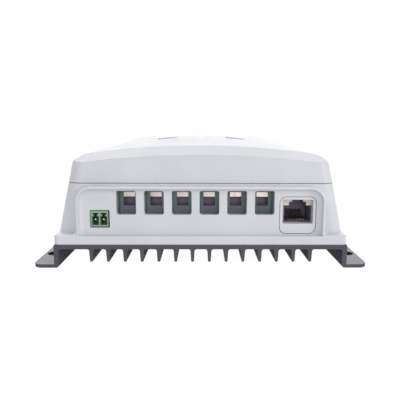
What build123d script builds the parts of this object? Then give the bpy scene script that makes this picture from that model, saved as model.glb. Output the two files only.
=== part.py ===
"""Solar charge controller lying on its finned heat sink.

Millimetres. +X to the right seen from the terminal end, +Y from the terminal end to the rear, +Z up.
The origin is under the middle of the object, on the plane of the mounting flanges' undersides.
"""
import math
import os

from build123d import *

# ---------------------------------------------------------------- overall
LENGTH = 216.0
FRONT = -LENGTH / 2
CUT = 300.0  # larger than the object, for cutting tools

# ---------------------------------------------------------------- heat sink extrusion
FLANGE_HALF = 77.1
FLANGE_T = 1.65
FLANGE_CORNER_R = 4.2
WALL_OUT = 67.2
WALL_IN = 65.1
WALL_FOOT_R = 1.3
PLATE_LOW = 8.75
PLATE_TOP = 10.65
FIN_COUNT = 14
FIN_PITCH = 7.71
FIN_TIP_Z = 2.85
FIN_TIP_W = 1.3
FIN_TIP_R = 0.55
FIN_ROOT_W = 2.0
FIN_ROOT_R = 1.0
MOUNT_X = 72.2
MOUNT_Y = 89.6
MOUNT_HOLE_R = 3.6

# ---------------------------------------------------------------- casing
RIM_HALF = 67.3
RIM_TOP = 15.2
RIM_END = LENGTH / 2 - 0.15
RIM_R = 2.4
RIM_CHAMFER = 0.35
WALL = 2.2
BODY_END = LENGTH / 2 - 6.0  # front and rear walls of the casing
BODY_BASE_HALF = 67.3
SIDE_SLOPE = 0.2205  # how far each side leans in per millimetre of height
CORNER_R = 6.5
SHOULDER_R = 10.0
SHOULDER_Z = 50.9  # height at which the top arc would meet the side plane, at the ends
SHOULDER_DROP = 1.3  # how much lower that is halfway along
CREST_END = 54.9
CREST_MID = 57.8
SEAM_Z = 38.4
SEAM_GAP = 0.4
TONGUE_H = 1.6
TONGUE_IN = 1.35
BEVEL_LOW = 51.45
BEVEL_HIGH = 55.4
BEVEL_DEPTH = 8.0
BEVEL_LOW_R = 450.0
BEVEL_HIGH_R = 407.0
SPLIT_Y = FRONT + 46.0  # joint line between the terminal cover and the top cover
SPLIT_GAP = 0.3

# ---------------------------------------------------------------- terminal panel
LIP_HALF = 56.95
LIP_TOP = 37.5
LIP_W = 1.2
LIP_FRONT = FRONT + 1.0
LIP_R = 7.0
RECESS_R = 2.2
PANEL_Y = FRONT + 3.5
PANEL_T = 2.8
PANEL_BOTTOM = 14.75
PANEL_BACK = PANEL_Y + PANEL_T

# ---------------------------------------------------------------- wire terminals
WAYS = 6
WAY_PITCH = 12.7
WAY_MID_X = -2.5
MOUTH_W = 9.05
MOUTH_LOW = 24.15
MOUTH_HIGH = 35.25
MOUTH_R = 1.0
BLOCK_FRONT = FRONT + 9.5
BLOCK_BACK = FRONT + 27.2
BLOCK_FACE = FRONT + 13.9
BLOCK_TOP = 44.0
BLOCK_STEP_Y = FRONT + 12.5
BLOCK_STEP_Z = 35.95
BLOCK_END_MARGIN = 6.35
PORT_W = 5.6
PORT_LOW = 26.6
PORT_HIGH = 33.3
CHAMBER_W = 8.8
CHAMBER_FRONT = FRONT + 15.2
CHAMBER_BACK = FRONT + 24.0
CHAMBER_LOW = 24.9
CHAMBER_HIGH = 39.4
BAR_LOW = 30.9
BAR_HIGH = 33.1
BAR_HALF = 2.7
CAGE_HALF = 4.1
CAGE_WALL = 1.0
CAGE_LOW = 25.2
CAGE_FLOOR = 26.5
CAGE_CEIL = 33.6
CAGE_HIGH = 35.4
CAGE_FRONT = FRONT + 15.6
CAGE_BACK = FRONT + 23.6
SCREW_Y = (CAGE_FRONT + CAGE_BACK) / 2
SCREW_R = 1.95
SCREW_CLEAR = 0.06
HEAD_R = 3.3
HEAD_H = 2.4
HEAD_SEAT = 41.0

# ---------------------------------------------------------------- sensor header and data port
HEADER_X = -46.7
HEADER_PITCH = 3.81
HEADER_HALF = 4.1
HEADER_LOW = 18.5
HEADER_HIGH = 25.95
HEADER_FRONT = FRONT + 4.0
HEADER_BACK = FRONT + 14.0
HEADER_CUT = (-51.0, -41.9, 18.0, 26.35)  # x low, x high, z low, z high
CAVITY_HALF = 1.65
CAVITY_LOW = 19.1
CAVITY_HIGH = 23.3
KEYWAY_HIGH = 24.9
KEYWAY_NECK = 0.65
PIN_X = -0.35  # sideways from the middle of its cavity
PIN_Z = 21.5
PIN_HALF = 0.48
PORT_X = 45.1
PORT_PLATE = (36.25, 52.9, 15.3, 32.5)
PORT_PLATE_T = 3.9
PORT_PLATE_R = 3.0
PORT_HOLE = (37.6, 51.6, 20.05, 31.25)
JACK_FRONT = FRONT + 7.5
JACK_BACK = FRONT + 23.0
JACK_HALF = 7.1
JACK_LOW = 18.25
JACK_HIGH = 31.8
SOCKET_HALF = 6.3
SOCKET_LOW = 20.2
SOCKET_HIGH = 27.7
SOCKET_STEPS = ((3.86, 29.45), (2.45, 30.6))  # half width and height of the latch's space
SOCKET_DEEP = FRONT + 20.5
JACK_LIGHT = (3.98, 6.8, 27.83, 31.0)  # from the middle outwards, then z low and z high
JACK_LIGHT_ARM = (2.57, 29.57)  # how far in and from what height its upper arm reaches
CONTACTS = 8
CONTACT_PITCH = 1.02

# ---------------------------------------------------------------- circuit boards and power parts
BOARD_LOW = 16.6
BOARD_TOP = 18.2
BOARD_HALF = 60.0
BOARD_FRONT = FRONT + 11.0
BOARD_REAR = LENGTH / 2 - 12.0
BOSS_X = 56.6
BOSS_Y = FRONT + 41.0
BOSS_R = 3.4
STANDOFF_X = 52.0
STANDOFF_Y = (-68.0, 10.0, 88.0)
CASE_SCREW_X = 58.15
CASE_SCREW_Y = (-86.0, 86.0)
THREAD_R = 1.45
FIT = 0.03
COIL_Y = (-42.0, 2.0)
COIL_X = -28.0
COIL_R = 13.0
COIL_TUBE = 6.0
CAP_R = 9.0
CAP_H = 31.0
CAP_SPOTS = ((22.0, -50.0), (22.0, -28.0), (22.0, 74.0), (-12.0, 74.0))
FET_COUNT = 8
FET_PITCH = 15.0

# ---------------------------------------------------------------- display and buttons
SCREEN_Y = -8.0
SCREEN_W = 58.0
SCREEN_D = 34.0
BUTTON_X = 19.5
BUTTON_Y = -42.0
BUTTON_W = 11.0
BUTTON_D = 6.5
BUTTON_PROUD = 0.35
BUTTON_GAP = 0.3
DISPLAY_BOARD_TOP = 48.6
DISPLAY_BOARD_T = 1.6
DISPLAY_BOARD_W = 92.0
DISPLAY_BOARD_Y = (-54.0, 24.0)
LIGHT_XS = (-8.0, 0.0, 8.0)
LIGHT_R = 1.5


# ================================================================ helpers
def span(x0, x1, y0, y1, z0, z1):
    """A box given by its limits."""
    return Pos((x0 + x1) / 2, (y0 + y1) / 2, (z0 + z1) / 2) * Box(x1 - x0, y1 - y0, z1 - z0)


def rod(x, y, z0, z1, radius):
    """An upright cylinder."""
    return Pos(x, y, (z0 + z1) / 2) * Cylinder(radius, z1 - z0)


def upright(y):
    """The plane across the object at y, with its x along +X and its y along +Z."""
    return Plane(origin=(0, y, 0), x_dir=(1, 0, 0), z_dir=(0, -1, 0))


def window(x0, x1, z0, z1, y0, y1, radius):
    """A rounded rectangle in the upright plane, as a bar from y0 to y1."""
    shape = upright(y0) * Pos((x0 + x1) / 2, (z0 + z1) / 2) * RectangleRounded(x1 - x0, z1 - z0, radius)
    return extrude(shape, amount=y1 - y0, dir=(0, 1, 0))


def merged(pieces):
    """All pieces fused."""
    total = pieces[0]
    for piece in pieces[1:]:
        total = total + piece
    return total


def way_xs():
    """Middle of each wire terminal."""
    first = WAY_MID_X - WAY_PITCH * (WAYS - 1) / 2
    return [first + WAY_PITCH * i for i in range(WAYS)]


def save(node, shape):
    """Write one node, as its single solid or as a group of solids."""
    solids = shape.solids()
    body = solids[0] if len(solids) == 1 else Compound(children=list(solids))
    export_step(body, f"parts/{node}.step")


# ================================================================ heat sink
def heat_sink():
    """Extruded aluminium: two flanges, two side walls, a plate and the fins under it."""
    outline = Pos(0, (PLATE_LOW + PLATE_TOP) / 2) * Rectangle(2 * WALL_OUT, PLATE_TOP - PLATE_LOW)
    for side in (-1, 1):
        wall_x = side * (WALL_IN + WALL_OUT) / 2
        outline += Pos(wall_x, PLATE_TOP / 2) * Rectangle(WALL_OUT - WALL_IN, PLATE_TOP)
        flange_x = side * (WALL_IN + FLANGE_HALF) / 2
        outline += Pos(flange_x, FLANGE_T / 2) * Rectangle(FLANGE_HALF - WALL_IN, FLANGE_T)
    for i in range(FIN_COUNT):
        x = (i - (FIN_COUNT - 1) / 2) * FIN_PITCH
        fin = Polygon(
            (x - FIN_TIP_W / 2, FIN_TIP_Z),
            (x + FIN_TIP_W / 2, FIN_TIP_Z),
            (x + FIN_ROOT_W / 2, PLATE_LOW + 0.1),
            (x - FIN_ROOT_W / 2, PLATE_LOW + 0.1),
            align=None,
        )
        outline += fillet(fin.vertices().group_by(Axis.Y)[0], FIN_TIP_R)
    roots = outline.vertices().filter_by(lambda v: abs(v.Y - PLATE_LOW) < 0.01)
    outline = fillet(roots.filter_by(lambda v: abs(v.X) < WALL_IN + 0.01), FIN_ROOT_R)
    feet = outline.vertices().filter_by(lambda v: abs(v.Y) < 0.01 and abs(v.X) < WALL_IN + 0.01)
    outline = fillet(feet, WALL_FOOT_R)
    sink = extrude(upright(FRONT) * outline, amount=LENGTH, dir=(0, 1, 0))
    corners = sink.edges().filter_by(Axis.Z).filter_by(lambda e: abs(e.center().X) > FLANGE_HALF - 0.1)
    sink = fillet(corners, FLANGE_CORNER_R)
    for x in (-MOUNT_X, MOUNT_X):
        for y in (-MOUNT_Y, MOUNT_Y):
            sink -= rod(x, y, -1, FLANGE_T + 1, MOUNT_HOLE_R)
    for x, y in case_screw_spots():
        sink -= rod(x, y, PLATE_LOW - 1, PLATE_TOP + 1, THREAD_R + 0.2)
    for x, y in standoff_spots():
        sink -= rod(x, y, PLATE_LOW - 0.6, PLATE_TOP + 1, THREAD_R + FIT)
    return sink


# ================================================================ casing form
def half_width(z):
    """Half the casing's width at height z."""
    return BODY_BASE_HALF - SIDE_SLOPE * (z - RIM_TOP)


def form_section(y, crest, shoulder_z, inset):
    """Cross-section of the casing at y: leaning sides, rounded shoulders and an arched top."""
    shoulder = half_width(shoulder_z)
    rise = crest - shoulder_z
    radius = (shoulder**2 + rise**2) / (2 * rise) - inset
    low = RIM_TOP - 6
    high = crest + 8
    shape = Polygon(
        (-half_width(low) + inset, low),
        (half_width(low) - inset, low),
        (half_width(high) - inset, high),
        (-half_width(high) + inset, high),
        align=None,
    )
    shape = shape & Pos(0, crest - inset - radius) * Circle(radius)
    tops = shape.vertices().group_by(Axis.Y)[-1]
    return upright(y) * fillet(tops, SHOULDER_R - inset)


def plan_section(z, inset):
    """Outline of the casing seen from above, at height z."""
    wide = 2 * (half_width(z) - inset)
    long = 2 * (BODY_END - inset)
    return Pos(0, 0, z) * RectangleRounded(wide, long, CORNER_R - inset)


def under_arch(y, crest, radius):
    """The space under an arc, as a face across the object."""
    shape = Pos(0, crest - 30) * Rectangle(2 * RIM_HALF + 20, 60)
    return upright(y) * (shape & Pos(0, crest - radius) * Circle(radius))


def bevel_tool(inset):
    """What the two end bevels leave of the casing."""
    slope = (BEVEL_HIGH - BEVEL_LOW) / BEVEL_DEPTH
    drop = inset * math.hypot(1, slope) - inset * slope
    ahead = 3.0
    inner = BODY_END - BEVEL_DEPTH
    behind = 0.5
    tool = span(-80, 80, -inner, inner, 0, 80)
    for side in (-1, 1):
        near = under_arch(side * (BODY_END + ahead), BEVEL_LOW - slope * ahead - drop, BEVEL_LOW_R)
        far = under_arch(side * (inner - behind), BEVEL_HIGH + slope * behind - drop, BEVEL_HIGH_R)
        tool += loft([near, far], ruled=True)
    return tool


def casing_form(inset):
    """The whole casing as one solid, moved inwards by inset."""
    stations = (-1.0, -0.5, 0.0, 0.5, 1.0)
    sections = []
    for s in stations:
        crest = CREST_MID - (CREST_MID - CREST_END) * s * s
        shoulder_z = SHOULDER_Z - SHOULDER_DROP * (1 - s * s)
        sections.append(form_section(s * BODY_END, crest, shoulder_z, inset))
    arched = loft(sections)
    plan = loft([plan_section(RIM_TOP - 5, inset), plan_section(CREST_MID + 5, inset)], ruled=True)
    return (arched & plan) & bevel_tool(inset)


# ================================================================ fastener positions
def case_screw_spots():
    """Screws that come up through the heat sink's plate into the lower case."""
    return [(x, y) for x in (-CASE_SCREW_X, CASE_SCREW_X) for y in CASE_SCREW_Y]


def standoff_spots():
    """Pillars between the heat sink's plate and the main board."""
    return [(x, y) for x in (-STANDOFF_X, STANDOFF_X) for y in STANDOFF_Y]


def boss_spots():
    """Screws that hold the top cover's front tabs."""
    return [(-BOSS_X, BOSS_Y), (BOSS_X, BOSS_Y)]


def display_screw_spots():
    """Screws that hold the display board under the top cover."""
    x = DISPLAY_BOARD_W / 2 - 4
    return [(sx * x, y) for sx in (-1, 1) for y in (DISPLAY_BOARD_Y[0] + 5, DISPLAY_BOARD_Y[1] - 5)]


def screw(x, y, seat, length, shank_r, head_r, head_h, up=True):
    """A cross-recessed screw whose head rests on z = seat. up: the head is on top."""
    way = 1 if up else -1
    shank = rod(x, y, min(seat, seat - way * length), max(seat, seat - way * length), shank_r)
    head = rod(x, y, min(seat, seat + way * head_h), max(seat, seat + way * head_h), head_r)
    rim = head.edges().filter_by(GeomType.CIRCLE).sort_by(Axis.Z)[-1 if up else 0]
    head = fillet(rim, head_h * 0.3)
    top = seat + way * head_h
    slot = 0.28 * head_r
    depth = 0.55 * head_h
    cross = Pos(x, y, top) * (Box(1.25 * head_r, slot, 2 * depth) + Box(slot, 1.25 * head_r, 2 * depth))
    return shank + head - cross


# ================================================================ casing parts
def rim():
    """The straight band along the bottom of the lower case."""
    band = extrude(Pos(0, 0, PLATE_TOP) * RectangleRounded(2 * RIM_HALF, 2 * RIM_END, RIM_R), RIM_TOP - PLATE_TOP)
    band = chamfer(band.edges().group_by(Axis.Z)[0], RIM_CHAMFER)
    ends = band.edges().group_by(Axis.Z)[-1].filter_by(Axis.X)
    return fillet(ends, 0.9)


def lip_block():
    """The raised arch that frames the terminal panel."""
    block = span(-LIP_HALF, LIP_HALF, LIP_FRONT, FRONT + 12, RIM_TOP - 2, LIP_TOP)
    tops = block.edges().filter_by(Axis.Y).group_by(Axis.Z)[-1]
    block = fillet(tops, LIP_R)
    nose = block.faces().sort_by(Axis.Y)[0].edges().filter_by(lambda e: e.center().Z > RIM_TOP)
    return fillet(nose, 0.65)


def lip_feet():
    """Concave feet where the arch's sides meet the ledge."""
    r = 2.6
    feet = []
    for side in (-1, 1):
        x = side * (LIP_HALF - 0.2)
        block = span(min(x, x + side * (r + 0.2)), max(x, x + side * (r + 0.2)),
                     LIP_FRONT + 0.6, FRONT + 9, RIM_TOP - 0.3, RIM_TOP + r)
        cutter = Pos(side * (LIP_HALF + r), FRONT + 5, RIM_TOP + r) * Rot(90, 0, 0) * Cylinder(r, 30)
        feet.append(block - cutter)
    return feet


def panel_recess():
    """The pocket inside the arch, down to the panel, with a soft inner corner."""
    inner = LIP_HALF - LIP_W
    pocket = span(-inner, inner, LIP_FRONT - 5, PANEL_Y, PANEL_BOTTOM, LIP_TOP - LIP_W)
    tops = pocket.edges().filter_by(Axis.Y).group_by(Axis.Z)[-1]
    pocket = fillet(tops, LIP_R - LIP_W)
    back = pocket.faces().sort_by(Axis.Y)[-1].edges()
    return fillet(back.filter_by(lambda e: e.center().Z > PANEL_BOTTOM + 0.1), RECESS_R)


def panel_holes():
    """Wire mouths, sensor header cut-out and data port hole in the terminal panel."""
    y0 = LIP_FRONT - 2
    y1 = PANEL_BACK + 1.4
    holes = [window(x - MOUTH_W / 2, x + MOUTH_W / 2, MOUTH_LOW, MOUTH_HIGH, y0, y1, MOUTH_R) for x in way_xs()]
    x0, x1, z0, z1 = HEADER_CUT
    holes.append(window(x0, x1, z0, z1, y0, y1, 0.5))
    x0, x1, z0, z1 = PORT_PLATE
    holes.append(window(x0 - 0.2, x1 + 0.2, z0 - 0.2, z1 + 0.2, y0, y1, PORT_PLATE_R + 0.2))
    return holes


def lower_case(outer, inner):
    """The lower half of the casing with its rim, arch, terminal panel, bosses and seam tongue."""
    below = span(-90, 90, -130, 130, RIM_TOP - 0.01, SEAM_Z - SEAM_GAP / 2)
    case = (outer & below) + rim() + lip_block()
    case = merged([case] + lip_feet())
    ring = casing_form(TONGUE_IN) & span(-90, 90, -130, 130, SEAM_Z - 1, SEAM_Z + TONGUE_H)
    case += ring
    case -= inner & span(-90, 90, -130, 130, PLATE_TOP - 2, SEAM_Z + 10)
    reach = half_width(PLATE_TOP + 3) - WALL - 0.6
    floor = Pos(0, 0, PLATE_TOP - 1) * RectangleRounded(2 * reach, 2 * (BODY_END - WALL), CORNER_R - WALL)
    case -= extrude(floor, RIM_TOP - PLATE_TOP + 2)
    case -= window(-54, 54, 16.6, 36.2, PANEL_BACK, FRONT + 12, 4)
    case -= panel_recess()
    for hole in panel_holes():
        case -= hole
    keep = casing_form(WALL / 2)
    for x, y in boss_spots():
        boss = rod(x, y, 22, SEAM_Z - SEAM_GAP / 2, BOSS_R) & keep
        wall_x = math.copysign(62, x)
        web = span(min(x, wall_x), max(x, wall_x), y - 1.2, y + 1.2, 22, SEAM_Z - SEAM_GAP / 2) & keep
        case = case + boss + web - rod(x, y, 28, SEAM_Z + 1, THREAD_R + FIT)
    for x, y in case_screw_spots():
        wall_x = math.copysign(66, x)
        boss = rod(x, y, PLATE_TOP, BOARD_LOW - 0.4, BOSS_R)
        web = span(min(x, wall_x), max(x, wall_x), y - 1.5, y + 1.5, PLATE_TOP, BOARD_LOW - 0.4)
        case = case + boss + web - rod(x, y, PLATE_TOP - 1, BOARD_LOW - 1.2, THREAD_R + FIT)
    return case


def cover_shell(outer, inner):
    """The upper half of the casing before it is divided."""
    low = SEAM_Z + SEAM_GAP / 2
    shell = outer & span(-90, 90, -130, 130, low, 90)
    shell -= inner
    return shell - (casing_form(TONGUE_IN - 0.15) & span(-90, 90, -130, 130, low - 1, SEAM_Z + TONGUE_H + 0.3))


def terminal_cover(shell):
    """The front part of the cover, which lifts off the wire terminals."""
    return shell & span(-90, 90, -130, SPLIT_Y - SPLIT_GAP / 2, 0, 90)


def slot_column(x, y, wide, deep, z0=30.0, z1=80.0):
    """An upright column with a round-ended outline."""
    return extrude(Pos(x, y, z0) * RectangleRounded(wide, deep, deep / 2 - 0.01), z1 - z0)


def button_spots():
    """The two push buttons: select on the left, enter on the right."""
    return {"select_button": (-BUTTON_X, BUTTON_Y), "enter_button": (BUTTON_X, BUTTON_Y)}


def top_cover(shell, lens_bed):
    """The main cover: partition, front tabs, display window, button holes and board posts."""
    y0 = SPLIT_Y + SPLIT_GAP / 2
    low = SEAM_Z + SEAM_GAP / 2
    cover = shell & span(-90, 90, y0, 130, 0, 90)
    wall = casing_form(WALL - 0.1) & span(-90, 90, y0, y0 + 1.8, SEAM_Z + TONGUE_H + 0.5, 90)
    cover = cover + wall + span(-50, 50, y0, y0 + 1.8, low, SEAM_Z + 4)
    for x, y in boss_spots():
        outer_x = math.copysign(BOSS_X + 2.3, x)
        inner_x = math.copysign(BOSS_X - 8, x)
        cover += span(min(inner_x, outer_x), max(inner_x, outer_x), y - 3.6, y0 + 1, low, low + 2.4)
        cover -= rod(x, y, low - 1, low + 4, THREAD_R + 0.25)
    room = casing_form(WALL - 0.3)
    for x, y in display_screw_spots():
        cover += rod(x, y, DISPLAY_BOARD_TOP, 75, 2.6) & room
        cover -= rod(x, y, DISPLAY_BOARD_TOP - 1, DISPLAY_BOARD_TOP + 4.5, 1.0 + FIT)
    column = Pos(0, SCREEN_Y, 55) * Box(SCREEN_W + 0.3, SCREEN_D + 0.3, 40)
    column = fillet(column.edges().filter_by(Axis.Z), 2.15)
    cover -= column - lens_bed
    cover -= span(-SCREEN_W / 2 + 3, SCREEN_W / 2 - 3, SCREEN_Y - SCREEN_D / 2 + 3, SCREEN_Y + SCREEN_D / 2 - 3, 45, 70)
    for x, y in button_spots().values():
        cover -= slot_column(x, y, BUTTON_W + 2 * BUTTON_GAP, BUTTON_D + 2 * BUTTON_GAP)
    for x in LIGHT_XS:
        cover -= rod(x, BUTTON_Y, 45, 70, LIGHT_R + FIT)
    return cover


def display_window(outer, lens_low):
    """The clear lens over the display, flush with the cover's top."""
    lens = Pos(0, SCREEN_Y, 55) * Box(SCREEN_W, SCREEN_D, 40)
    lens = fillet(lens.edges().filter_by(Axis.Z), 2.0)
    return (lens & outer) - lens_low


def button(x, y, flange_top, flange_low, cap_top):
    """A button cap with a flange that keeps it under the cover and a stem over its switch."""
    cap = slot_column(x, y, BUTTON_W, BUTTON_D) & cap_top
    flange = slot_column(x, y, BUTTON_W + 3, BUTTON_D + 3) & flange_top
    piece = (cap - flange_low) + (flange - flange_low)
    return piece + rod(x, y, DISPLAY_BOARD_TOP + 3.2, 54.0, 1.8)


def light_pipes(outer):
    """Three clear rods that carry the indicator lights to the cover's top."""
    return merged([rod(x, BUTTON_Y, DISPLAY_BOARD_TOP + 1.2, 75, LIGHT_R) & outer for x in LIGHT_XS])


# ================================================================ wire terminals
def terminal_block():
    """The moulded block that holds six clamps, each with a mouth, a chamber and a screw well."""
    xs = way_xs()
    x0 = xs[0] - BLOCK_END_MARGIN
    x1 = xs[-1] + BLOCK_END_MARGIN
    block = span(x0, x1, BLOCK_FRONT, BLOCK_BACK, BOARD_TOP + 0.05, BLOCK_TOP)
    block -= span(x0 - 1, x1 + 1, BLOCK_FRONT - 1, BLOCK_STEP_Y, BLOCK_STEP_Z, BLOCK_TOP + 1)
    block = chamfer(block.edges().filter_by(Axis.X).group_by(Axis.Z)[-1], 1.5)
    for x in xs:
        block -= window(x - 4.5, x + 4.5, 22.3, 35.4, BLOCK_FRONT - 1, BLOCK_FACE, 1.0)
        block -= span(x - PORT_W / 2, x + PORT_W / 2, BLOCK_FACE - 1, CHAMBER_BACK, PORT_LOW, PORT_HIGH)
        block -= span(x - CHAMBER_W / 2, x + CHAMBER_W / 2, CHAMBER_FRONT, CHAMBER_BACK, CHAMBER_LOW, CHAMBER_HIGH)
        block -= span(x - BAR_HALF - FIT, x + BAR_HALF + FIT, CHAMBER_BACK - 1, BLOCK_BACK + 1,
                      BAR_LOW - FIT, BAR_HIGH + FIT)
        block -= rod(x, SCREW_Y, CHAMBER_HIGH - 1, HEAD_SEAT + 1, SCREW_R + SCREW_CLEAR)
        block -= rod(x, SCREW_Y, HEAD_SEAT, BLOCK_TOP + 1, HEAD_R + 0.35)
    for left in xs[:-1]:
        block -= span(left + WAY_PITCH / 2 - 0.35, left + WAY_PITCH / 2 + 0.35,
                      BLOCK_FRONT - 1, BLOCK_FRONT + 1.2, BOARD_TOP, BLOCK_TOP + 1)
    return block


def current_bars():
    """Six tinned copper bars: flat under the screw, then bent down into the main board."""
    bars = []
    for x in way_xs():
        flat = span(x - BAR_HALF, x + BAR_HALF, BLOCK_FACE + 0.3, BLOCK_BACK + 1.4, BAR_LOW, BAR_HIGH)
        leg = span(x - BAR_HALF, x + BAR_HALF, BLOCK_BACK + 0.2, BLOCK_BACK + 1.4, BOARD_TOP + 0.02, BAR_HIGH)
        bars.append(fillet((flat + leg).edges().filter_by(Axis.X).group_by(Axis.Z)[-1].sort_by(Axis.Y)[-1], 1.0))
    return merged(bars)


def wire_clamp(x):
    """The cage that the screw lifts: a jaw under the wire, two sides and a threaded top."""
    cage = span(x - CAGE_HALF, x + CAGE_HALF, CAGE_FRONT, CAGE_BACK, CAGE_LOW, CAGE_HIGH)
    cage = fillet(cage.edges().filter_by(Axis.Y), 0.6)
    inner = CAGE_HALF - CAGE_WALL
    cage -= span(x - inner, x + inner, CAGE_FRONT - 1, CAGE_BACK + 1, CAGE_FLOOR, CAGE_CEIL)
    return cage - rod(x, SCREW_Y, CAGE_CEIL - 1, CAGE_HIGH + 1, SCREW_R + SCREW_CLEAR)


def terminal_screw(x):
    """A cheese-head clamp screw that turns in place."""
    length = HEAD_SEAT - BAR_HIGH - 0.3
    return screw(x, SCREW_Y, HEAD_SEAT + 0.02, length, SCREW_R, HEAD_R, HEAD_H)


# ================================================================ sensor header and data port
def cavity_xs():
    """Middle of each of the header's cavities."""
    return [HEADER_X - HEADER_PITCH / 2, HEADER_X + HEADER_PITCH / 2]


def sensor_header():
    """The socket body for the two-way temperature sensor plug, with a flared keyway over each cavity."""
    body = span(HEADER_X - HEADER_HALF, HEADER_X + HEADER_HALF, HEADER_FRONT, HEADER_BACK, HEADER_LOW, HEADER_HIGH)
    deep = HEADER_BACK - 1.5
    for x in cavity_xs():
        body -= span(x - CAVITY_HALF, x + CAVITY_HALF, HEADER_FRONT - 1, deep, CAVITY_LOW, CAVITY_HIGH)
        keyway = Polygon(
            (x - KEYWAY_NECK, CAVITY_HIGH - 0.1),
            (x + KEYWAY_NECK, CAVITY_HIGH - 0.1),
            (x + CAVITY_HALF - 0.1, KEYWAY_HIGH),
            (x - CAVITY_HALF + 0.1, KEYWAY_HIGH),
            align=None,
        )
        body -= extrude(upright(HEADER_FRONT - 1) * keyway, amount=deep - HEADER_FRONT + 1, dir=(0, 1, 0))
        pin_x = x + PIN_X
        hole = PIN_HALF + 0.02
        body -= span(pin_x - hole, pin_x + hole, HEADER_BACK - 3, HEADER_BACK + 1, PIN_Z - hole, PIN_Z + hole)
    return body


def header_pins():
    """Two square pins, straight into the plug and bent down to the main board."""
    pins = []
    for cavity_x in cavity_xs():
        x = cavity_x + PIN_X
        low = PIN_Z - PIN_HALF
        high = PIN_Z + PIN_HALF
        arm = span(x - PIN_HALF, x + PIN_HALF, HEADER_FRONT + 2.0, HEADER_BACK + 1.4, low, high)
        leg = span(x - PIN_HALF, x + PIN_HALF, HEADER_BACK + 0.4, HEADER_BACK + 1.4, BOARD_TOP + 0.02, high)
        pins.append(chamfer((arm + leg).faces().sort_by(Axis.Y)[0].edges(), 0.2))
    return merged(pins)


def port_plate():
    """The insert that frames the data port."""
    x0, x1, z0, z1 = PORT_PLATE
    plate = window(x0, x1, z0, z1, PANEL_Y, PANEL_Y + PORT_PLATE_T, PORT_PLATE_R)
    plate = fillet(plate.faces().sort_by(Axis.Y)[0].edges(), 0.3)
    x0, x1, z0, z1 = PORT_HOLE
    return plate - window(x0, x1, z0, z1, PANEL_Y - 1, PANEL_Y + PORT_PLATE_T + 1, 0.4)


def light_seat(side, play):
    """Where one light window sits beside the stepped opening, widened by play."""
    near, far, low, high = JACK_LIGHT
    arm_near, arm_low = JACK_LIGHT_ARM
    front = JACK_FRONT + 0.1 - 3 * play
    back = JACK_FRONT + 8 + play
    xs = sorted((PORT_X + side * (near - play), PORT_X + side * (far + play)))
    arm_xs = sorted((PORT_X + side * (arm_near - play), PORT_X + side * (far + play)))
    tall = span(*xs, front, back, low - play, high + play)
    return tall + span(*arm_xs, front, back, arm_low - play, high + play)


def jack_housing():
    """The shell of the eight-way data socket, latch side up, with seats for two light windows."""
    shell = span(PORT_X - JACK_HALF, PORT_X + JACK_HALF, JACK_FRONT, JACK_BACK, JACK_LOW, JACK_HIGH)
    shell -= span(PORT_X - SOCKET_HALF, PORT_X + SOCKET_HALF, JACK_FRONT - 1, SOCKET_DEEP, SOCKET_LOW, SOCKET_HIGH)
    for half, high in SOCKET_STEPS:
        shell -= span(PORT_X - half, PORT_X + half, JACK_FRONT - 1, SOCKET_DEEP, SOCKET_HIGH - 1, high)
    for side in (-1, 1):
        shell -= light_seat(side, 0.05)
    return shell


def jack_contacts():
    """Eight gilt springs that rise from the front of the socket's floor."""
    springs = []
    for i in range(CONTACTS):
        x = PORT_X + (i - (CONTACTS - 1) / 2) * CONTACT_PITCH
        y0 = JACK_FRONT + 3.2
        y1 = SOCKET_DEEP - 0.3
        side = Plane(origin=(x - 0.2, 0, 0), x_dir=(0, 1, 0), z_dir=(1, 0, 0)) * Polygon(
            (y0, SOCKET_LOW + 0.02), (y0 + 0.8, SOCKET_LOW + 0.02), (y1, SOCKET_LOW + 3.4), (y1, SOCKET_LOW + 3.9),
            (y0 + 1.0, SOCKET_LOW + 1.0), (y0, SOCKET_LOW + 0.7), align=None)
        springs.append(extrude(side, 0.4, dir=(1, 0, 0)))
    return merged(springs)


def jack_lights():
    """The two light windows in the socket's upper corners."""
    lights = [light_seat(side, 0.0) for side in (-1, 1)]
    return merged([fillet(light.faces().sort_by(Axis.Y)[0].edges(), 0.2) for light in lights])


# ================================================================ main board and what it carries
def main_board():
    """The main circuit board."""
    board = span(-BOARD_HALF, BOARD_HALF, BOARD_FRONT, BOARD_REAR, BOARD_LOW, BOARD_TOP)
    board = fillet(board.edges().filter_by(Axis.Z), 3.0)
    for x, y in standoff_spots():
        board -= rod(x, y, BOARD_LOW - 1, BOARD_TOP + 1, THREAD_R + 0.2)
    return board


def standoffs():
    """Six hexagonal brass pillars with a threaded bore."""
    pillars = []
    for x, y in standoff_spots():
        pillar = extrude(Pos(x, y, PLATE_TOP + 0.01) * RegularPolygon(3.2, 6), BOARD_LOW - PLATE_TOP - 0.02)
        foot = rod(x, y, PLATE_LOW - 0.4, PLATE_TOP + 0.5, THREAD_R)
        pillars.append(pillar + foot - rod(x, y, PLATE_TOP + 1.5, BOARD_LOW + 1, 1.2 + FIT))
    return merged(pillars)


def board_screws():
    """Screws that hold the main board on its pillars."""
    return merged([screw(x, y, BOARD_TOP + 0.02, 5.2, 1.2, 2.7, 1.8) for x, y in standoff_spots()])


def case_screws():
    """Screws under the heat sink's plate that hold the lower case down."""
    return merged([screw(x, y, PLATE_LOW - 0.02, 6.0, THREAD_R, 2.8, 1.9, up=False) for x, y in case_screw_spots()])


def cover_screws():
    """Screws through the top cover's front tabs."""
    seat = SEAM_Z + SEAM_GAP / 2 + 2.42
    return merged([screw(x, y, seat, 11.0, THREAD_R, 2.2, 1.7) for x, y in boss_spots()])


def display_screws():
    """Screws under the display board."""
    seat = DISPLAY_BOARD_TOP - DISPLAY_BOARD_T - 0.02
    return merged([screw(x, y, seat, 5.4, 1.0, 2.0, 1.4, up=False) for x, y in display_screw_spots()])


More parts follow.
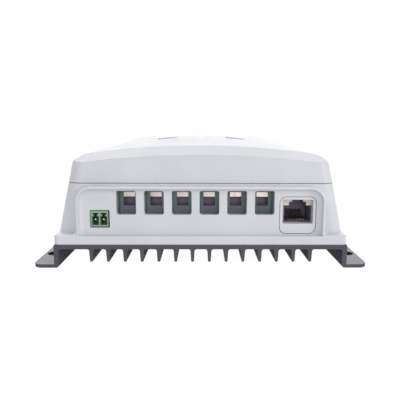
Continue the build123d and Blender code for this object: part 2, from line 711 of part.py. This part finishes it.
def power_transistor_spots():
    """Transistors lie on the heat sink's plate in two rows under the board's long edges."""
    first = -(FET_COUNT / 2 - 1) * FET_PITCH / 2 - 12
    return [(x, first + i * FET_PITCH) for x in (-38.0, 38.0) for i in range(FET_COUNT // 2)]


def thermal_pads():
    """Insulating pads between the transistors and the plate."""
    return merged([span(x - 6, x + 6, y - 6, y + 6, PLATE_TOP + 0.01, PLATE_TOP + 0.35)
                   for x, y in power_transistor_spots()])


def power_transistors():
    """Moulded power transistors with a metal tab and three legs into the board."""
    packs = []
    for x, y in power_transistor_spots():
        way = math.copysign(1, x)
        pack = span(x - 5, x + 5, y - 4.8, y + 4.8, PLATE_TOP + 0.37, PLATE_TOP + 4.6)
        pack = chamfer(pack.edges().group_by(Axis.Z)[-1], 0.5)
        for k in (-1, 0, 1):
            arm = span(min(x + way * 4, x + way * 8), max(x + way * 4, x + way * 8),
                       y + 2.54 * k - 0.4, y + 2.54 * k + 0.4, 13.0, 13.6)
            leg_x = x + way * 7.7
            leg = span(leg_x - 0.3, leg_x + 0.3, y + 2.54 * k - 0.4, y + 2.54 * k + 0.4, 13.0, BOARD_LOW - 0.02)
            pack = pack + arm + leg
        packs.append(pack)
    return merged(packs)


def storage_coils():
    """Two wound toroidal coils standing flat on the board."""
    coils = []
    for y in COIL_Y:
        ring = Torus(COIL_R, COIL_TUBE)
        coils.append(Pos(COIL_X, y, BOARD_TOP + COIL_TUBE + 0.05) * ring)
    return merged(coils)


def capacitors():
    """Four electrolytic cans with a rolled groove near the foot."""
    cans = []
    for x, y in CAP_SPOTS:
        can = rod(x, y, BOARD_TOP + 0.02, BOARD_TOP + CAP_H - 4, CAP_R)
        can = fillet(can.edges().filter_by(GeomType.CIRCLE).sort_by(Axis.Z)[-1], 0.8)
        can -= Pos(x, y, BOARD_TOP + 3.2) * Torus(CAP_R + 0.3, 0.8)
        cans.append(can)
    return merged(cans)


def control_chips():
    """The controller chip and three smaller packages."""
    chips = [span(-38, -26, 62, 74, BOARD_TOP + 0.02, BOARD_TOP + 1.6)]
    for y in (34, 46, 58):
        chips.append(span(38, 46, y, y + 6, BOARD_TOP + 0.02, BOARD_TOP + 1.7))
    return merged([chamfer(c.edges().group_by(Axis.Z)[-1], 0.25) for c in chips])


def fuse():
    """A blade fuse in its holder."""
    holder = span(40, 52, -38, -18, BOARD_TOP + 0.02, BOARD_TOP + 9)
    return fillet(holder.edges().filter_by(Axis.Z), 1.0)


def ribbon_cable():
    """Flat cable from the main board up to the display board's rear edge."""
    edge = DISPLAY_BOARD_Y[1]
    upper = DISPLAY_BOARD_TOP + 0.9
    riser = span(-9, 9, edge + 3.5, edge + 4.3, BOARD_TOP + 0.02, upper)
    return riser + span(-9, 9, edge - 1.4, edge + 4.3, DISPLAY_BOARD_TOP + 0.1, upper)


def display_board():
    """The board behind the display and buttons."""
    y0, y1 = DISPLAY_BOARD_Y
    half = DISPLAY_BOARD_W / 2
    board = span(-half, half, y0, y1, DISPLAY_BOARD_TOP - DISPLAY_BOARD_T, DISPLAY_BOARD_TOP)
    board = fillet(board.edges().filter_by(Axis.Z), 2.0)
    for x, y in display_screw_spots():
        board -= rod(x, y, DISPLAY_BOARD_TOP - 3, DISPLAY_BOARD_TOP + 1, 1.15)
    return board


def display_frame():
    """The frame that holds the liquid crystal glass on the display board."""
    half = SCREEN_W / 2 - 1.5
    deep = SCREEN_D / 2 - 1.0
    frame = span(-half, half, SCREEN_Y - deep, SCREEN_Y + deep, DISPLAY_BOARD_TOP + 0.02, 52.9)
    return frame - span(-half + 2, half - 2, SCREEN_Y - deep + 2, SCREEN_Y + deep - 2, DISPLAY_BOARD_TOP + 1.2, 60)


def display_glass():
    """The liquid crystal glass in its frame."""
    half = SCREEN_W / 2 - 3.55
    deep = SCREEN_D / 2 - 3.05
    return span(-half, half, SCREEN_Y - deep, SCREEN_Y + deep, DISPLAY_BOARD_TOP + 1.25, 52.6)


def button_switches():
    """The two tactile switches under the buttons."""
    switches = []
    for x, y in button_spots().values():
        body = span(x - 3, x + 3, y - 3, y + 3, DISPLAY_BOARD_TOP + 0.02, DISPLAY_BOARD_TOP + 1.5)
        switches.append(body + rod(x, y, DISPLAY_BOARD_TOP + 1, DISPLAY_BOARD_TOP + 1.95, 1.5))
    return merged(switches)


def indicator_lights():
    """Three light-emitting diodes under the light pipes."""
    return merged([span(x - 1, x + 1, BUTTON_Y - 1.2, BUTTON_Y + 1.2, DISPLAY_BOARD_TOP + 0.02, DISPLAY_BOARD_TOP + 1.0)
                   for x in LIGHT_XS])


# ================================================================ write every node
def main():
    os.makedirs("parts", exist_ok=True)
    outer = casing_form(0)
    inner = casing_form(WALL)
    lens_bed = casing_form(1.5)
    lens_low = casing_form(1.45)
    shell = cover_shell(outer, inner)
    flange_top = casing_form(WALL + 0.12)
    flange_low = casing_form(WALL + 1.4)
    cap_top = casing_form(-BUTTON_PROUD)

    save("heat_sink", heat_sink())
    save("lower_case", lower_case(outer, inner))
    save("terminal_cover", terminal_cover(shell))
    save("top_cover", top_cover(shell, lens_bed))
    save("display_window", display_window(outer, lens_low))
    for name, (x, y) in button_spots().items():
        save(name, button(x, y, flange_top, flange_low, cap_top))
    save("light_pipes", light_pipes(outer))
    save("terminal_block", terminal_block())
    save("current_bars", current_bars())
    for i, x in enumerate(way_xs(), start=1):
        save(f"wire_clamp_{i}", wire_clamp(x))
        save(f"terminal_screw_{i}", terminal_screw(x))
    for piece in (
        sensor_header, header_pins, port_plate, jack_housing, jack_contacts, jack_lights, main_board,
        standoffs, board_screws, case_screws, cover_screws, display_screws, thermal_pads,
        power_transistors, storage_coils, capacitors, control_chips, fuse, ribbon_cable, display_board,
        display_frame, display_glass, button_switches, indicator_lights,
    ):
        save(piece.__name__, piece())


if __name__ == "__main__":
    main()
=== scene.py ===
"""Looks, light and camera for the charge controller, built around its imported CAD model."""
import math
import bpy
from mathutils import Matrix, Vector


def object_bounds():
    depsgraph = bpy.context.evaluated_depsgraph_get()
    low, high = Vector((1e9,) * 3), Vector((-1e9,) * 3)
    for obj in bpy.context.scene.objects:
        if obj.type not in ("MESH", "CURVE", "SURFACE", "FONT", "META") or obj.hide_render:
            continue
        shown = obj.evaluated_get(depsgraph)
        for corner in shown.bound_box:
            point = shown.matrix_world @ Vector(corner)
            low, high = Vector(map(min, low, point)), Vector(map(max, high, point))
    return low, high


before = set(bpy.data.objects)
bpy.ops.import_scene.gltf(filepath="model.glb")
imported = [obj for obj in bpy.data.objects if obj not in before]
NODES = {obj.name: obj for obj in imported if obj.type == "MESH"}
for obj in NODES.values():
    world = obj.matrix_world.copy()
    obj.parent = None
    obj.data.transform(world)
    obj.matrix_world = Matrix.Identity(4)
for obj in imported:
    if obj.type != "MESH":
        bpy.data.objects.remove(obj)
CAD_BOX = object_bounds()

SCENE = bpy.context.scene
LOW = Vector(CAD_BOX[0])
HIGH = Vector(CAD_BOX[1])

# Camera: millimetres for the lens, radians for the angles, metres for its place.
SENSOR_WIDTH = 36.0
LENS = 43.2
LENS_SHIFT_X = -0.0236
LENS_SHIFT_Y = 0.0001
CAMERA_PITCH = math.radians(9.6945)
CAMERA_YAW = -0.0147
CAMERA_ROLL = math.radians(-0.237)
CAMERA_X = 0.00065
CAMERA_AHEAD = 0.21276  # from the terminal end
CAMERA_HEIGHT = 0.06799

# Light
WORLD_COLOUR = (0.985, 0.985, 1.0)
WORLD_STRENGTH = 0.68
ORIGIN = (0, 0, 0)
TERMINAL_END = (0, -0.1, 0.03)
SOFT_BOXES = (
    # name, place, what it faces, width in metres, watts
    ("overhead_box", (-0.3, 0.2, 1.1), ORIGIN, 0.9, 2.7),
    ("right_box", (1.0, -0.75, 0.4), TERMINAL_END, 0.4, 5.0),
    ("front_box", (0.05, -1.3, 0.28), TERMINAL_END, 0.4, 2.0),
)

# Studio sheets, in metres
FLOOR_BELOW = 0.0001
STUDIO_REACH = 3.0
WALL_Y = 1.7
SHEET_GREY = (0.25, 0.25, 0.25)
SHEET_WHITE = (1, 1, 1, 1)
FLOOR_GLOW = 0.97
WALL_GLOW = 1.42
# Cards of painted contact shadow under the flanges
FLANGE_INNER = 0.0112  # from the flange's outer edge
FLANGE_MARGIN = 0.0008
FLANGE_END_MARGIN = 0.002
PAINTED_CONTACT_SHADOW = (0.03, 0.03, 0.035)

# Colours used more than once or mixed in a material
CASE = (0.635, 0.647, 0.675)
ANODISED = (0.066, 0.061, 0.084)
# Heat sink colours for a painted highlight on upward faces and painted shade on sideways faces
ANODISED_PAINTED_HIGHLIGHT = (0.11, 0.11, 0.125)
ANODISED_PAINTED_SHADE = (0.04, 0.036, 0.047)
BLOCK_GREEN = (0.22, 0.345, 0.265)
BLOCK_LOW = (0.26, 0.30, 0.34)
# Purplish painted shade far back in the terminal chambers
BLOCK_PAINTED_SHADE = (0.42, 0.31, 0.47)

# Where the terminal block's colours change, in metres
LOW_FROM, LOW_TO = 0.026, 0.035
# Bounds of the chambers' painted shade: far back along y, below the chamber top along z
DEEP_FROM, DEEP_TO = LOW.y + 0.0142, LOW.y + 0.0165
CHAMBER_FROM, CHAMBER_TO = 0.0362, 0.0366

FINE_SCALE = 2600.0  # spark texture of moulded plastic
FINE_GRAIN = 0.00004
LINE_DEPTH = 0.00003  # lines in drawn and extruded metal


# ------------------------------------------------------------------ camera, light and studio
def place_camera():
    """Just above the terminal end, looking slightly down; the lens axis passes a little to one side."""
    data = bpy.data.cameras.new("camera")
    data.sensor_width = SENSOR_WIDTH
    data.lens = LENS
    data.shift_x = LENS_SHIFT_X
    data.shift_y = LENS_SHIFT_Y
    data.dof.use_dof = False
    camera = bpy.data.objects.new("camera", data)
    SCENE.collection.objects.link(camera)
    level_ahead = Vector((-math.sin(CAMERA_YAW), math.cos(CAMERA_YAW), 0))
    ahead = math.cos(CAMERA_PITCH) * level_ahead - math.sin(CAMERA_PITCH) * Vector((0, 0, 1))
    right = Vector((math.cos(CAMERA_YAW), math.sin(CAMERA_YAW), 0))
    up = right.cross(ahead)
    tilted_right = math.cos(CAMERA_ROLL) * right - math.sin(CAMERA_ROLL) * up
    tilted_up = math.sin(CAMERA_ROLL) * right + math.cos(CAMERA_ROLL) * up
    turn = Matrix((tilted_right, tilted_up, -ahead)).transposed().to_4x4()
    spot = Vector((CAMERA_X, LOW.y - CAMERA_AHEAD, CAMERA_HEIGHT))
    camera.matrix_world = Matrix.Translation(spot) @ turn
    SCENE.camera = camera


def soft_light(name, spot, aim, size, power):
    """A square soft box at spot, facing aim."""
    data = bpy.data.lights.new(name, "AREA")
    data.shape = "SQUARE"
    data.size = size
    data.energy = power
    lamp = bpy.data.objects.new(name, data)
    SCENE.collection.objects.link(lamp)
    lamp.location = spot
    lamp.rotation_euler = (Vector(aim) - Vector(spot)).to_track_quat("-Z", "Y").to_euler()


def light_the_scene():
    """Pale surroundings, a large soft box overhead, one on the right and a weaker one ahead."""
    world = bpy.data.worlds.new("studio")
    SCENE.world = world
    world.use_nodes = True
    background = world.node_tree.nodes["Background"]
    background.inputs["Color"].default_value = (*WORLD_COLOUR, 1)
    background.inputs["Strength"].default_value = WORLD_STRENGTH
    for box in SOFT_BOXES:
        soft_light(*box)


def flat_sheet(name, corners, finish):
    """One four-cornered sheet of the studio."""
    mesh = bpy.data.meshes.new(name)
    mesh.from_pydata(corners, [], [(0, 1, 2, 3)])
    mesh.materials.append(finish)
    sheet = bpy.data.objects.new(name, mesh)
    SCENE.collection.objects.link(sheet)
    return sheet


def glowing_sheet(name, corners, glow):
    """A large matt white sheet that shines a little, seen directly and in reflections only."""
    finish, shader = new_material(name, SHEET_GREY, 0.9)
    shader.inputs["Specular IOR Level"].default_value = 0.0
    shader.inputs["Emission Color"].default_value = SHEET_WHITE
    shader.inputs["Emission Strength"].default_value = glow
    sheet = flat_sheet(name, corners, finish)
    sheet.visible_diffuse = False


def shade_card(name, side):
    """A dark card of painted contact shadow on the floor where a flange rests on it, which shows only
    through the screw holes.
    """
    inner = side * (HIGH.x - FLANGE_INNER)
    outer = side * (HIGH.x - FLANGE_MARGIN)
    front = LOW.y + FLANGE_END_MARGIN
    z = -FLOOR_BELOW / 2
    corners = [(inner, front, z), (outer, front, z), (outer, -front, z), (inner, -front, z)]
    finish, _ = new_material(name, PAINTED_CONTACT_SHADOW, 0.9)
    flat_sheet(name, corners, finish)


def build_studio():
    """A plain white floor, dark cards of painted contact shadow under the flanges, and a white wall
    behind the object.
    """
    z = LOW.z - FLOOR_BELOW
    reach = STUDIO_REACH
    floor = [(-reach, -reach, z), (reach, -reach, z), (reach, WALL_Y, z), (-reach, WALL_Y, z)]
    wall = [(-reach, WALL_Y, z), (reach, WALL_Y, z), (reach, WALL_Y, reach), (-reach, WALL_Y, reach)]
    glowing_sheet("floor", floor, FLOOR_GLOW)
    shade_card("left_painted_contact_shadow", -1)
    shade_card("right_painted_contact_shadow", 1)
    glowing_sheet("wall", wall, WALL_GLOW)


# ------------------------------------------------------------------ material helpers
def new_material(name, colour, roughness, metallic=0.0):
    """A material with one Principled shader, which is returned too."""
    finish = bpy.data.materials.new(name)
    finish.use_nodes = True
    shader = finish.node_tree.nodes["Principled BSDF"]
    shader.inputs["Base Color"].default_value = (*colour, 1)
    shader.inputs["Roughness"].default_value = roughness
    shader.inputs["Metallic"].default_value = metallic
    return finish, shader


def add(finish, kind, **properties):
    """A new node with the given properties."""
    node = finish.node_tree.nodes.new(kind)
    for key, value in properties.items():
        setattr(node, key, value)
    return node


def link(finish, source, target):
    """Joins an output to an input."""
    finish.node_tree.links.new(source, target)


def place_coords(finish, stretch=(1, 1, 1)):
    """Coordinates in metres on the object, stretched per axis."""
    coords = add(finish, "ShaderNodeTexCoord")
    mapping = add(finish, "ShaderNodeMapping")
    mapping.inputs["Scale"].default_value = stretch
    link(finish, coords.outputs["Object"], mapping.inputs["Vector"])
    return mapping.outputs["Vector"]


def noise(finish, vector, scale, detail=3.0, roughness=0.55):
    """Cloudy variation, 0 to 1."""
    node = add(finish, "ShaderNodeTexNoise")
    node.inputs["Scale"].default_value = scale
    node.inputs["Detail"].default_value = detail
    node.inputs["Roughness"].default_value = roughness
    link(finish, vector, node.inputs["Vector"])
    return node.outputs["Fac"]


def ramp(finish, value, low, high, low_at=0.3, high_at=0.7):
    """A colour that runs from low to high as value runs between the two positions."""
    node = add(finish, "ShaderNodeValToRGB")
    node.color_ramp.elements[0].position = low_at
    node.color_ramp.elements[0].color = (*low, 1)
    node.color_ramp.elements[1].position = high_at
    node.color_ramp.elements[1].color = (*high, 1)
    link(finish, value, node.inputs["Fac"])
    return node.outputs["Color"]


def map_range(finish, value, from_min=0.0, from_max=1.0, to_min=0.0, to_max=1.0):
    """value mapped from one range to another, held at its ends."""
    node = add(finish, "ShaderNodeMapRange")
    node.inputs["From Min"].default_value = from_min
    node.inputs["From Max"].default_value = from_max
    node.inputs["To Min"].default_value = to_min
    node.inputs["To Max"].default_value = to_max
    link(finish, value, node.inputs["Value"])
    return node.outputs["Result"]


def bump(finish, shader, height, distance, strength):
    """Raises the surface a little by height."""
    node = add(finish, "ShaderNodeBump")
    node.inputs["Distance"].default_value = distance
    node.inputs["Strength"].default_value = strength
    link(finish, height, node.inputs["Height"])
    link(finish, node.outputs["Normal"], shader.inputs["Normal"])


def shade(colour, factor):
    """A lighter or darker version of a colour."""
    return tuple(min(1.0, c * factor) for c in colour)


def mottled(finish, vector, scale, detail, colour, down, up):
    """A colour that varies gently between two shades of itself."""
    broad = noise(finish, vector, scale, detail)
    return ramp(finish, broad, shade(colour, down), shade(colour, up))


def moulded(name, colour, roughness, grain=FINE_GRAIN, mottle=0.04):
    """Moulded plastic: fine spark texture, and a little unevenness in colour and gloss."""
    finish, shader = new_material(name, colour, roughness)
    vector = place_coords(finish)
    tint = mottled(finish, vector, 38.0, 4.0, colour, 1 - mottle, 1 + mottle)
    link(finish, tint, shader.inputs["Base Color"])
    fine = noise(finish, vector, FINE_SCALE, 2.0)
    gloss = map_range(finish, fine, to_min=roughness - 0.06, to_max=roughness + 0.08)
    link(finish, gloss, shader.inputs["Roughness"])
    bump(finish, shader, fine, grain, 0.5)
    return finish, shader


def drawn_metal(name, colour, roughness, stretch, mottle=0.12):
    """Metal with fine lines left by drawing or extrusion."""
    finish, shader = new_material(name, colour, roughness, 1.0)
    lines = noise(finish, place_coords(finish, stretch), 900.0, 4.0, 0.65)
    tint = mottled(finish, place_coords(finish), 60.0, 3.0, colour, 1 - mottle, 1 + mottle)
    link(finish, tint, shader.inputs["Base Color"])
    gloss = map_range(finish, lines, to_min=roughness - 0.08, to_max=roughness + 0.12)
    link(finish, gloss, shader.inputs["Roughness"])
    bump(finish, shader, lines, LINE_DEPTH, 0.35)
    return finish


def facing(finish, axis):
    """One component of the surface's direction."""
    geometry = add(finish, "ShaderNodeNewGeometry")
    split = add(finish, "ShaderNodeSeparateXYZ")
    link(finish, geometry.outputs["Normal"], split.inputs["Vector"])
    return split.outputs[axis]


def upward(finish):
    """0 on faces that look sideways or down, 1 on faces that look up."""
    return map_range(finish, facing(finish, "Z"), from_min=0.3, from_max=0.8)


def sideways(finish):
    """1 on faces that look left or right, 0 elsewhere."""
    size = add(finish, "ShaderNodeMath", operation="ABSOLUTE")
    link(finish, facing(finish, "X"), size.inputs[0])
    return map_range(finish, size.outputs["Value"], from_min=0.5, from_max=0.9)


def set_or_link(finish, source, target):
    """Gives an input a constant, a plain colour or another node's output."""
    if isinstance(source, float):
        target.default_value = source
    elif isinstance(source, tuple):
        target.default_value = (*source, 1)
    else:
        link(finish, source, target)


def blend_colour(finish, factor, first, second):
    """first where factor is 0, second where it is 1."""
    node = add(finish, "ShaderNodeMix", data_type="RGBA")
    link(finish, factor, node.inputs["Factor"])
    set_or_link(finish, first, node.inputs[6])
    set_or_link(finish, second, node.inputs[7])
    return node.outputs[2]


def blend_value(finish, factor, first, second):
    """first where factor is 0, second where it is 1."""
    node = add(finish, "ShaderNodeMix", data_type="FLOAT")
    link(finish, factor, node.inputs["Factor"])
    set_or_link(finish, first, node.inputs[2])
    set_or_link(finish, second, node.inputs[3])
    return node.outputs[0]


# ------------------------------------------------------------------ special materials
def anodised_extrusion():
    """Dark anodised aluminium with die lines along it, matt between the fins and shinier on top; its
    colour carries a painted highlight on upward faces and painted shade on faces that look sideways
    between the fins.
    """
    finish, shader = new_material("anodised_dark", ANODISED, 0.4, 0.3)
    lines = noise(finish, place_coords(finish, (1, 0.015, 1)), 1500.0, 4.0, 0.65)
    body = mottled(finish, place_coords(finish), 45.0, 3.0, ANODISED, 0.9, 1.1)
    # Painted light in the colour: a painted highlight on upward faces, then painted shade on faces
    # looking sideways between the fins
    painted_highlight = blend_colour(finish, upward(finish), body, ANODISED_PAINTED_HIGHLIGHT)
    painted_shade = blend_colour(finish, sideways(finish), painted_highlight, ANODISED_PAINTED_SHADE)
    link(finish, painted_shade, shader.inputs["Base Color"])
    worn = blend_value(finish, upward(finish), 0.5, 0.3)
    rough = blend_value(finish, sideways(finish), worn, 0.85)
    varied = add(finish, "ShaderNodeMath", operation="MULTIPLY_ADD")
    link(finish, lines, varied.inputs[0])
    varied.inputs[1].default_value = 0.1
    link(finish, rough, varied.inputs[2])
    link(finish, varied.outputs["Value"], shader.inputs["Roughness"])
    bump(finish, shader, lines, LINE_DEPTH, 0.3)
    return finish


def block_plastic():
    """Grey-green terminal moulding, greyer low down, with purplish painted shade far back in its
    chambers.
    """
    finish, shader = new_material("block_green", BLOCK_GREEN, 0.45)
    vector = place_coords(finish)
    split = add(finish, "ShaderNodeSeparateXYZ")
    link(finish, vector, split.inputs["Vector"])
    height = split.outputs["Z"]
    raised = map_range(finish, height, from_min=LOW_FROM, from_max=LOW_TO)
    depth = map_range(finish, split.outputs["Y"], from_min=DEEP_FROM, from_max=DEEP_TO)
    under_top = map_range(finish, height, CHAMBER_FROM, CHAMBER_TO, to_min=1.0, to_max=0.0)
    # Painted shade mask: far back in a chamber and below its top
    painted_shade_mask = add(finish, "ShaderNodeMath", operation="MULTIPLY")
    link(finish, depth, painted_shade_mask.inputs[0])
    link(finish, under_top, painted_shade_mask.inputs[1])
    green = mottled(finish, vector, 160.0, 3.0, BLOCK_GREEN, 0.88, 1.1)
    body = blend_colour(finish, raised, BLOCK_LOW, green)
    tint = blend_colour(finish, painted_shade_mask.outputs["Value"], body, BLOCK_PAINTED_SHADE)
    link(finish, tint, shader.inputs["Base Color"])
    fine = noise(finish, vector, FINE_SCALE, 2.0)
    link(finish, map_range(finish, fine, to_min=0.4, to_max=0.53), shader.inputs["Roughness"])
    bump(finish, shader, fine, FINE_GRAIN, 0.5)
    return finish


def cream_lens():
    """Milky plastic of the data socket's light windows."""
    finish, shader = moulded("cream_lens", (0.78, 0.69, 0.58), 0.3, mottle=0.05)
    shader.inputs["Subsurface Weight"].default_value = 0.2
    shader.inputs["Subsurface Scale"].default_value = 0.002
    return finish


def clear_lens():
    """Clear plastic of the display window and the light pipes."""
    finish, shader = moulded("clear_lens", (0.95, 0.97, 0.98), 0.1, grain=0.00001)
    shader.inputs["Transmission Weight"].default_value = 1.0
    return finish


# ------------------------------------------------------------------ which node wears what
CLAMPS = tuple(f"wire_clamp_{i}" for i in range(1, 7))
CLAMP_SCREWS = tuple(f"terminal_screw_{i}" for i in range(1, 7))
OTHER_SCREWS = ("board_screws", "case_screws", "cover_screws", "display_screws")

PLASTICS = (
    # material, colour, roughness, CAD nodes
    ("case_plastic", CASE, 0.34, ("lower_case", "terminal_cover", "top_cover")),
    ("plate_plastic", shade(CASE, 1.01), 0.36, ("port_plate",)),
    ("header_green", (0.23, 0.37, 0.25), 0.42, ("sensor_header",)),
    ("socket_black", (0.2, 0.175, 0.24), 0.5, ("jack_housing",)),
    ("board_green", (0.02, 0.13, 0.06), 0.3, ("main_board", "display_board")),
    ("pad_grey", (0.4, 0.45, 0.52), 0.7, ("thermal_pads",)),
    ("chip_black", (0.02, 0.02, 0.022), 0.45, ("power_transistors", "control_chips")),
    ("can_sleeve", (0.03, 0.035, 0.09), 0.25, ("capacitors",)),
    ("fuse_plastic", (0.7, 0.25, 0.03), 0.25, ("fuse",)),
    ("ribbon_grey", (0.4, 0.41, 0.42), 0.5, ("ribbon_cable",)),
    ("frame_black", (0.02, 0.02, 0.023), 0.35, ("display_frame", "button_switches")),
    ("lcd_glass", (0.16, 0.2, 0.155), 0.12, ("display_glass",)),
    ("led_white", (0.8, 0.78, 0.68), 0.3, ("indicator_lights",)),
    ("button_blue", (0.50, 0.53, 0.64), 0.4, ("select_button", "enter_button")),
)

METALS = (
    # material, colour, roughness, stretch of its lines, unevenness, CAD nodes
    ("tinned_copper", (0.74, 0.68, 0.63), 0.42, (1, 1, 0.05), 0.2, ("current_bars", "header_pins")),
    ("zinc_steel", (0.62, 0.62, 0.60), 0.32, (1, 1, 0.2), 0.12, OTHER_SCREWS + CLAMPS + CLAMP_SCREWS),
    ("gilt", (0.36, 0.29, 0.2), 0.4, (1, 0.05, 1), 0.12, ("jack_contacts",)),
    ("brass", (0.72, 0.53, 0.24), 0.3, (1, 1, 0.1), 0.12, ("standoffs",)),
    ("coil_copper", (0.65, 0.27, 0.1), 0.3, (1, 1, 1), 0.12, ("storage_coils",)),
)


def dress(finish, names):
    """Gives CAD nodes a material."""
    for name in names:
        piece = NODES[name]
        piece.data.materials.clear()
        piece.data.materials.append(finish)


def dress_all():
    """Gives every CAD node its material."""
    for name, colour, roughness, nodes in PLASTICS:
        finish, _ = moulded(name, colour, roughness)
        dress(finish, nodes)
    for name, colour, roughness, stretch, mottle, nodes in METALS:
        dress(drawn_metal(name, colour, roughness, stretch, mottle), nodes)
    dress(anodised_extrusion(), ("heat_sink",))
    dress(block_plastic(), ("terminal_block",))
    dress(cream_lens(), ("jack_lights",))
    dress(clear_lens(), ("display_window", "light_pipes"))


place_camera()
light_the_scene()
build_studio()
dress_all()
SCENE.view_settings.view_transform = "Standard"
